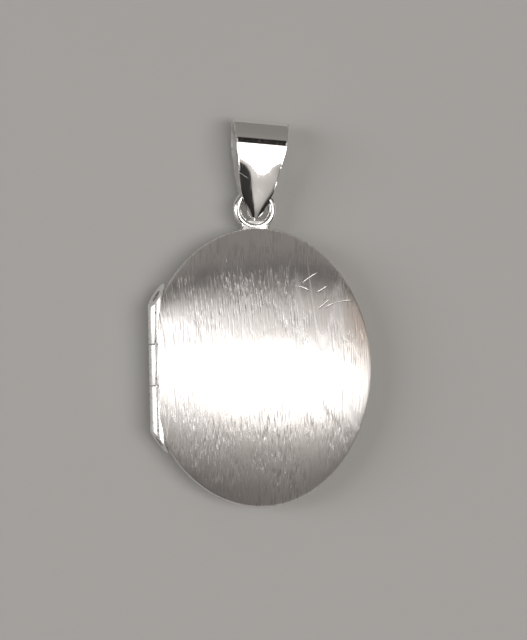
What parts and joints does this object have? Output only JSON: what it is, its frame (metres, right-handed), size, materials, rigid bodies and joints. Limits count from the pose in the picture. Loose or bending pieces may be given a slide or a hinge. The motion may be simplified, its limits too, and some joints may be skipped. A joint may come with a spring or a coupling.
{
  "type": "oval locket pendant",
  "caption": "Oval hinged locket with a satin brushed domed front, a snap rim and picture seats inside, and a folded polished bail hanging in a soldered ring.",
  "frame": {"origin": "middle of the small flat on the back that the closed locket lies on", "axes": "+Z out of the front, -Z out of the back; +Y along the oval towards the bail; +X across it, away from the hinge"},
  "size_m": [0.0208, 0.0366, 0.0055],
  "materials": {
    "satin_silver": "satin silver, brushed along the long axis",
    "polished_silver": "polished silver with fine handling scratches",
    "inner_silver": "plain silver, lightly polished",
    "clear_window": "thin clear acetate",
    "blank_card": "blank ivory card"
  },
  "bodies": {
    "back_half": {"back_shell": "satin_silver", "snap_rim": "inner_silver", "back_hinge_bearer": "inner_silver", "hinge_knuckle_lower": "polished_silver", "hinge_knuckle_upper": "polished_silver", "hinge_pin": "inner_silver", "back_picture_seat": "inner_silver", "back_picture_card": "blank_card", "back_picture_window": "clear_window", "hanging_ring": "polished_silver", "ring_foot": "polished_silver"},
    "front_half": {"front_shell": "satin_silver", "front_hinge_bearer": "inner_silver", "hinge_knuckle_middle": "polished_silver", "front_picture_seat": "inner_silver", "front_picture_card": "blank_card", "front_picture_window": "clear_window"},
    "back_frame": {"back_picture_frame": "inner_silver"},
    "front_frame": {"front_picture_frame": "inner_silver"},
    "bail": {"bail": "polished_silver"}
  },
  "joints": [
    {"name": "lid_hinge", "type": "hinge", "parent": "back_half", "child": "front_half", "pos_m": [-0.0095, 0, 0.0027], "axis": [0, -1, 0], "range_deg": [0, 180]},
    {"name": "bail_swing", "type": "hinge", "parent": "back_half", "child": "bail", "pos_m": [0, 0.01655, 0.00226], "axis": [1, 0, 0], "range_deg": [0, 16]},
    {"name": "back_frame_lift", "type": "slide", "parent": "back_half", "child": "back_frame", "axis": [0, 0, 1], "range_m": [0, 0.00035]},
    {"name": "front_frame_lift", "type": "slide", "parent": "front_half", "child": "front_frame", "axis": [0, 0, -1], "range_m": [0, 0.00035]}
  ]
}
